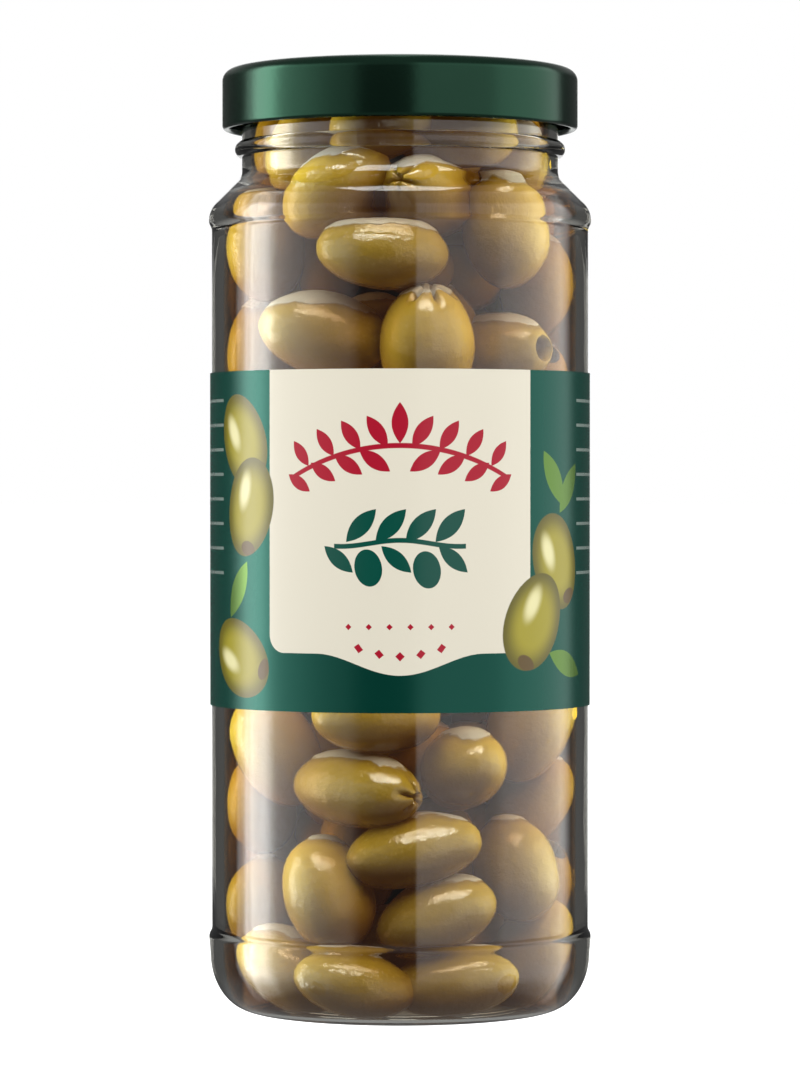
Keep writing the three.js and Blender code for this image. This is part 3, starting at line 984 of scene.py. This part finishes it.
def olive_mesh(sides, end):
    """One olive, with a round hole, a star-shaped cut or nothing at its upper end."""
    bm = bmesh.new()
    start = HOLE_ANGLE if end == HOLE else math.pi / 2
    outline = arc((0, 0), (1, 1), start, -math.pi / 2, BODY_STEPS)
    if end == HOLE:
        outline = list(HOLE_OUTLINE) + outline
    spin_outline(bm, outline, sides)
    # The pit number marks painted shade, darkest deep in a hole and along the arms of a cut.
    pit = float_layer(bm, "pit")
    for vert in bm.verts:
        radius = math.hypot(vert.co.x, vert.co.y)
        if vert.co.z < 0:
            continue
        if end == HOLE and radius < HOLE_RADIUS:
            vert[pit] = min(1, (HOLE_RADIUS - radius) * HOLE_SHADE)
        if end == CUT and radius < CUT_REACH:
            angle = math.atan2(vert.co.y, vert.co.x)
            cut = abs(math.cos(angle * CUT_COUNT / 2)) ** CUT_SHARPNESS if radius > CUT_MIDDLE else 1
            fade = 1 - (radius / CUT_REACH) ** 2
            vert[pit] = CUT_SHADE * cut * fade
            vert.co.z -= CUT_DEPTH * cut * fade
    mesh = bpy.data.meshes.new("olive_pattern")
    bm.to_mesh(mesh)
    bm.free()
    return mesh


def add_olives(bm, items, sides, seed):
    """Adds each olive to the heap, with its own lumps, its tone and a raised film on its upper side, partly
    a painted highlight.
    """
    patterns = [olive_mesh(sides, end) for end in (PLAIN, HOLE, CUT)]
    tone, film, _ = [float_layer(bm, name) for name in ("tone", "film", "pit")]
    draws = random_from(seed)
    for item in items:
        start = len(bm.verts)
        bm.from_mesh(patterns[item.end])
        bm.verts.ensure_lookup_table()
        verts = bm.verts[start:]
        tilt = item.axis.normalized().to_track_quat("Z", "X").to_matrix().to_4x4()
        roll = Matrix.Rotation(math.tau * next(draws), 4, "Z")
        size = Matrix.Diagonal((item.width / 2, item.width / 2, item.length / 2, 1))
        bmesh.ops.transform(bm, matrix=Matrix.Translation(item.centre) @ tilt @ roll @ size, verts=verts)
        own_tone = next(draws)
        height = item.centre.z / HEAP_HEAD
        own_film = FILM_SPREAD[0] * (1 - height) + FILM_SPREAD[1] * height
        own_film *= FILM_LEAST + (1 - FILM_LEAST) * next(draws)
        shift = Vector((next(draws), next(draws), next(draws))) * PATTERN_SHIFT
        for vert in verts:
            arm = vert.co - item.centre
            along = item.axis * arm.dot(item.axis)
            out = ((arm - along) / item.width ** 2 + along / item.length ** 2).normalized()
            # The film number grows towards the top of each olive; it sets the pale film, partly a painted
            # highlight, and the painted shade below.
            reach = out.z + FILM_WAVER * noise.noise(vert.co * FILM_PITCH + shift) + own_film - 1
            vert[tone] = own_tone
            vert[film] = reach
            lump = LUMP * noise.noise(vert.co * LUMP_PITCH + shift)
            lump += WRINKLE * noise.noise(vert.co * WRINKLE_PITCH + shift)
            lump += FILM_RISE * max(0, min(1, reach / FILM_EDGE))
            vert.co = (vert.co + out * lump) * MM
    for pattern in patterns:
        bpy.data.meshes.remove(pattern)


FRECKLE = (0.46, 0.36, 0.10)


def olive_finish(settings):
    """Wet skin of many tones with freckles, browner below as painted shade, painted shade in its holes and
    dark cuts and below the film's edge, a ragged pale film that is partly a painted highlight, and a
    painted glow.
    """
    s = settings.olives
    finish = Finish("olive_skin")

    def own(name):
        node = finish.node("Attribute", {"attribute_name": name})
        return finish.value(node.outputs["Fac"])

    cloud = finish.noise(170, detail=3)
    freckle = finish.noise(1300, detail=2)
    tone = (own("tone") * 0.7 + cloud * 0.6 - 0.15).ease(0, 1)
    skin = finish.mix(tone, s.green, s.ripe)
    skin = finish.mix((freckle - 0.55).high(0) * 1.2, skin, FRECKLE)
    # Painted shade: the lower sides of each olive turn towards the under colour.
    skin = finish.mix(own("film").ease(-0.65, -1.65) * 0.85, skin, s.under_shade)
    # Painted shade in the holes and cuts.
    skin = finish.mix(own("pit"), skin, s.pit)
    ragged = own("film") + (finish.noise(520, detail=4) - 0.5) * 0.11
    film = ragged.ease(0, 0.04)
    # Painted shadow: a dark band just below the edge of the film.
    skin = finish.mix(ragged.ease(-0.12, 0.02) * 0.35, skin, s.pit)
    # Pale film, partly a painted highlight on the upper sides.
    skin = finish.mix(film * 0.92, skin, s.film)
    wrinkle = finish.noise(640, detail=3, roughness=0.6)
    # The emission is a painted glow that lifts the shade of every olive.
    finish.surface(
        Base_Color=skin, Roughness=0.14 + 0.15 * film, Specular_IOR_Level=1,
        Emission_Color=s.painted_glow_and_shade, Emission_Strength=1,
        Normal=finish.bump(wrinkle + film, 0.0004, 0.36),
    )
    return finish


class OLIVEJAR_OT_olives(bpy.types.Operator):
    """Builds the olives at the glass and the ones behind them"""

    bl_idname = "olivejar.olives"
    bl_label = "Olives"

    def execute(self, context):
        settings = context.scene.olive_jar
        space = glass_space(settings.glass)
        bm = bmesh.new()
        outer = settle(front_olives(space) + back_olives(space), space)
        add_olives(bm, outer, settings.olives.sides, HEAP_SEED)
        add_olives(bm, deep_olives(), settings.olives.sides // 2, DEEP_SEED)
        bmesh.ops.recalc_face_normals(bm, faces=bm.faces)
        piece("olive_heap", bm, olive_finish(settings), "olives", math.radians(60))
        return {"FINISHED"}


CORE_RADIUS = 9 * MM
CORE_FOOT = 8 * MM
CORE_HEAD = 148 * MM
CORE_TAPER = 2 * MM
CORE_SWELL = 0.25
CORE_PITCH = 0.12


class OLIVEJAR_OT_core(bpy.types.Operator):
    """Builds the dark middle of the heap, painted shade for the depth between the olives"""

    bl_idname = "olivejar.core"
    bl_label = "Core"

    def execute(self, context):
        settings = context.scene.olive_jar
        bm = bmesh.new()
        side = ladder((CORE_RADIUS, CORE_FOOT + CORE_TAPER), (CORE_RADIUS, CORE_HEAD - CORE_TAPER), 50)
        spin_outline(bm, [(0, CORE_FOOT)] + side + [(0, CORE_HEAD)], 24)
        for vert in bm.verts:
            swell = 1 + CORE_SWELL * noise.noise(vert.co / MM * CORE_PITCH)
            vert.co.x *= swell
            vert.co.y *= swell
        # The core's finish is painted shade: dark brown where the depth of the heap lies.
        finish = Finish("painted_glow_and_shade")
        cloud = finish.noise(120, detail=4)
        core = settings.olives.core
        finish.surface(
            Base_Color=finish.mix(cloud, core, [1.8 * part for part in core]), Roughness=0.8,
            Normal=finish.bump(cloud, 0.002, 0.6),
        )
        piece("heap_core", bm, finish, "olives")
        return {"FINISHED"}


BRINE_REACH = 0.15 * MM
BRINE_HEAD = 151.5 * MM
BRINE_BEND = 1.003


class OLIVEJAR_OT_brine(bpy.types.Operator):
    """Builds the brine, which reaches just into the glass"""

    bl_idname = "olivejar.brine"
    bl_label = "Brine"

    def execute(self, context):
        settings = context.scene.olive_jar
        s = settings.glass
        bm = bmesh.new()
        bore = s.bore_radius + BRINE_REACH
        outline = [(0, BRINE_HEAD)] + ladder((bore, BRINE_HEAD), (bore, BORE_FOOT), 8)
        spin_outline(bm, outline + inside_outline(s, BRINE_REACH), 128)
        finish = Finish("brine")
        haze = finish.noise(40, detail=2)
        finish.surface(
            Base_Color=finish.mix(haze, (1, 1, 1), (0.93, 0.91, 0.85)), Roughness=0, IOR=BRINE_BEND,
            Transmission_Weight=1,
        )
        depth = finish.node(
            "VolumeAbsorption",
            sockets={"Color": settings.olives.brine, "Density": settings.olives.brine_depth},
        )
        finish.join(finish.output.inputs["Volume"], depth.outputs[0])
        brine = piece("brine", bm, finish, "olives", math.radians(80))
        brine.visible_shadow = False
        return {"FINISHED"}


LIGHT_TARGET = 85 * MM


def named_group(name, names):
    """A collection of pieces, for a light's links."""
    group = bpy.data.collections.new(name)
    for item in names:
        group.objects.link(bpy.data.objects[item])
    return group


def softbox(name, bearing, rise, away, size, brightness, only, tint=(1, 1, 1), shade=()):
    """A rectangular light that faces the jar and lights only the named pieces, which shade each other.

    Bearings are in degrees, 0 at the camera, and grow to its right. No light shows in shiny surfaces.
    The pieces in shade block the light too.
    """
    lamp = bpy.data.lights.new(name, "AREA")
    lamp.shape = "RECTANGLE"
    lamp.size, lamp.size_y = size
    lamp.color = tint
    lamp.energy = brightness * math.pi * size[0] * size[1]
    lamp.cycles.use_multiple_importance_sampling = False
    obj = bpy.data.objects.new(name, lamp)
    turn, climb = math.radians(bearing), math.radians(rise)
    flat = away * math.cos(climb)
    arm = Vector((flat * math.sin(turn), -flat * math.cos(turn), away * math.sin(climb)))
    obj.location = arm + Vector((0, 0, LIGHT_TARGET))
    obj.rotation_euler = arm.to_track_quat("Z", "Y").to_euler()
    obj.visible_camera = False
    obj.visible_glossy = False
    bpy.context.scene.collection.objects.link(obj)
    obj.light_linking.receiver_collection = named_group(name, only)
    obj.light_linking.blocker_collection = named_group(name + "_shade", only + shade)


# Lights on the studio's wall, by bearing in degrees: start, end and strength, with how soft each edge is
WALL_LIGHTS = (
    ((-119, 5), (-102, 8), 1.6),
    ((-110, 5), (-82, 9), 4.0),
    ((-100, 5), (-72, 10), 0.4),
    ((-110, 5), (-34, 50), 1.2),
    ((-110, 5), (-22, 12), 0.45),
    ((8.5, 2.5), (128, 10), 0.85),
    ((40, 90), (128, 10), 0.5),
    ((60, 8), (128, 10), 0.4),
)

# Size of the wall in metres, and the heights between which its lights fade in and out
WALL_RADIUS = 1.6
WALL_HEIGHT = 3
WALL_LIGHT_FOOT = (-0.9, -0.3)
WALL_LIGHT_HEAD = (1.4, 0.8)

# A bright stretch of wall behind the jar: half its width and its edge in degrees, its foot and its edge
# in metres
BACK_HALF = 11
BACK_SIDE_EDGE = 1
BACK_FOOT = -0.2
BACK_FOOT_EDGE = 0.03

# Strength of the dim room, of the haze high and low on the wall and of the ceiling
ROOM = 0.08
HAZE = 0.2
HAZE_RISE = (0.35, 0.7)
CEILING = 0.3
CEILING_EDGE = (-0.02, -0.01)

# The bright field of the ceiling, in metres
SPARK_HALF = 0.75
SPARK_START = -0.34
SPARK_EDGE = 0.05


def studio_wall(spark):
    """A round wall far from the jar whose lights show only in and through its shiny pieces.

    Its ceiling has a bright field that shows only through the glass, in what lies inside.
    """
    bm = bmesh.new()
    bmesh.ops.create_cone(
        bm, cap_ends=True, segments=96, radius1=WALL_RADIUS, radius2=WALL_RADIUS, depth=WALL_HEIGHT
    )
    mesh = bpy.data.meshes.new("studio_wall")
    bm.to_mesh(mesh)
    bm.free()
    finish = Finish("studio_wall")
    x, y, z = finish.split(finish.place())
    bearing = x.math("ARCTAN2", y * -1) * (180 / math.pi)
    light = 0
    for (start, rise), (end, fall), strength in WALL_LIGHTS:
        light = light + bearing.ease(start, start + rise) * bearing.ease(end, end - fall) * strength
    light = light * z.ease(*WALL_LIGHT_FOOT) * z.ease(*WALL_LIGHT_HEAD)
    light = light + abs(z).ease(*HAZE_RISE) * HAZE
    side = 180 - BACK_HALF
    back = abs(bearing).ease(side - BACK_SIDE_EDGE, side + BACK_SIDE_EDGE)
    light = light + back * z.ease(BACK_FOOT - BACK_FOOT_EDGE, BACK_FOOT + BACK_FOOT_EDGE)
    ceiling = z.ease(*[WALL_HEIGHT / 2 + edge for edge in CEILING_EDGE])
    through = finish.value(finish.node("LightPath").outputs["Is Transmission Ray"])
    field = abs(x).ease(SPARK_HALF + SPARK_EDGE, SPARK_HALF) * y.ease(SPARK_START, SPARK_START - SPARK_EDGE)
    light = (light + ROOM).high(ceiling * CEILING) + ceiling * field * through * spark
    grey = finish.node("CombineXYZ", sockets={"X": light, "Y": light, "Z": light}).outputs[0]
    glow = finish.node("Emission", sockets={"Color": grey, "Strength": 1})
    finish.join(finish.output.inputs["Surface"], glow.outputs[0])
    finish.material.cycles.emission_sampling = "NONE"
    mesh.materials.append(finish.material)
    wall = bpy.data.objects.new("studio_wall", mesh)
    bpy.context.scene.collection.objects.link(wall)
    wall.visible_camera = False
    wall.visible_diffuse = False
    wall.visible_shadow = False


DIM_ROOM = (0.05, 0.05, 0.05)


def studio_world():
    """White to the camera, and a dim room to everything else."""
    world = bpy.data.worlds.new("studio")
    world.use_nodes = True
    nodes = Nodes(world.node_tree)
    seen = nodes.node("Background", sockets={"Color": (1, 1, 1)}).outputs[0]
    room = nodes.node("Background", sockets={"Color": DIM_ROOM}).outputs[0]
    camera_ray = nodes.node("LightPath").outputs["Is Camera Ray"]
    choice = nodes.node("MixShader", sockets={0: camera_ray, 1: room, 2: seen})
    nodes.node("OutputWorld", sockets={"Surface": choice.outputs[0]})
    bpy.context.scene.world = world


FLOOR_SIZE = 60
# Painted contact shadow on the floor: its colour and how far it spreads from the jar.
SHADE = (0.75, 0.75, 0.75)
SHADE_SPREAD = (0.16, 0.04)


def pale_floor(s):
    """A wide white floor, with a painted contact shadow that makes it a little darker close to the jar."""
    bm = bmesh.new()
    bmesh.ops.create_grid(bm, x_segments=8, y_segments=8, size=FLOOR_SIZE / 2)
    mesh = bpy.data.meshes.new("floor")
    bm.to_mesh(mesh)
    bm.free()
    finish = Finish("pale_floor")
    grain = finish.noise(6, detail=2)
    x, y, _ = finish.split(finish.place())
    near = (x * x + y * y).root().ease(*SHADE_SPREAD)
    finish.surface(
        Base_Color=finish.mix(grain, s.floor, [0.98 * part for part in s.floor]), Roughness=0.7,
        Emission_Color=finish.mix(near, (1, 1, 1), SHADE), Emission_Strength=1,
    )
    mesh.materials.append(finish.material)
    floor = bpy.data.objects.new("floor", mesh)
    bpy.context.scene.collection.objects.link(floor)
    floor.visible_diffuse = False
    floor.visible_glossy = False
    floor.visible_transmission = False


def studio_lights(s):
    """Lights for the olives alone, and lights for the pieces outside the glass."""
    heap = ("olive_heap", "heap_core")
    lid = ("lid_shell",)
    dull = ("paper_label", "lid_shell", "floor")
    softbox("key_light", 0, 56, 0.85, (0.9, 0.7), s.key, heap, shade=lid)
    softbox("fill_light", 48, 40, 0.8, (0.5, 0.8), s.fill, heap, s.warmth, lid)
    softbox("left_light", -86, 0, 0.06, (0.03, 0.19), s.side, heap, s.glow)
    softbox("right_light", 88, 0, 0.06, (0.03, 0.19), 0.7 * s.side, heap, s.glow)
    for bearing in (-60, 60):
        softbox("front_light", bearing, 30, 1.2, (1, 0.8), s.front, dull)


def studio_camera(s):
    """A long lens in front of the jar, a little above its middle."""
    camera = bpy.data.cameras.new("camera")
    camera.lens = s.camera_lens
    camera.sensor_width = 36
    camera.clip_start = 0.01
    view = bpy.data.objects.new("camera", camera)
    view.location = (0, -s.camera_away, s.camera_height)
    view.rotation_euler = (math.pi / 2 - s.camera_dip, 0, 0)
    bpy.context.scene.collection.objects.link(view)
    bpy.context.scene.camera = view


class OLIVEJAR_OT_stage(bpy.types.Operator):
    """Builds the floor, the lights and the camera"""

    bl_idname = "olivejar.stage"
    bl_label = "Stage"

    def execute(self, context):
        s = context.scene.olive_jar.stage
        pale_floor(s)
        studio_world()
        studio_lights(s)
        studio_wall(s.spark)
        studio_camera(s)
        context.scene.view_settings.view_transform = "Standard"
        context.scene.cycles.caustics_refractive = False
        context.scene.cycles.caustics_reflective = False
        return {"FINISHED"}


class OLIVEJAR_PT_panel(bpy.types.Panel):
    """Lists the pieces of the jar"""

    bl_idname = "OLIVEJAR_PT_panel"
    bl_label = "Olive jar"
    bl_space_type = "VIEW_3D"
    bl_region_type = "UI"
    bl_category = "Olive jar"

    def draw(self, context):
        settings = context.scene.olive_jar
        for operator in OPERATORS:
            self.layout.operator(operator.bl_idname)
        for name in ("glass", "lid", "label", "olives", "stage"):
            group = getattr(settings, name)
            box = self.layout.box()
            box.label(text=name.capitalize())
            for key in group.__annotations__:
                box.prop(group, key)


GROUPS = (OliveJarGlass, OliveJarLid, OliveJarLabel, OliveJarOlives, OliveJarStage, OliveJarSettings)
OPERATORS = (
    OLIVEJAR_OT_glass,
    OLIVEJAR_OT_lid,
    OLIVEJAR_OT_label,
    OLIVEJAR_OT_olives,
    OLIVEJAR_OT_core,
    OLIVEJAR_OT_brine,
    OLIVEJAR_OT_stage,
)


def register():
    for item in GROUPS + OPERATORS + (OLIVEJAR_PT_panel,):
        bpy.utils.register_class(item)
    bpy.types.Scene.olive_jar = PointerProperty(type=OliveJarSettings)


def unregister():
    del bpy.types.Scene.olive_jar
    for item in reversed(GROUPS + OPERATORS + (OLIVEJAR_PT_panel,)):
        bpy.utils.unregister_class(item)


def main():
    register()
    bpy.ops.olivejar.glass()
    bpy.ops.olivejar.lid()
    bpy.ops.olivejar.label()
    bpy.ops.olivejar.olives()
    bpy.ops.olivejar.core()
    bpy.ops.olivejar.brine()
    bpy.ops.olivejar.stage()


if __name__ == "__main__":
    main()
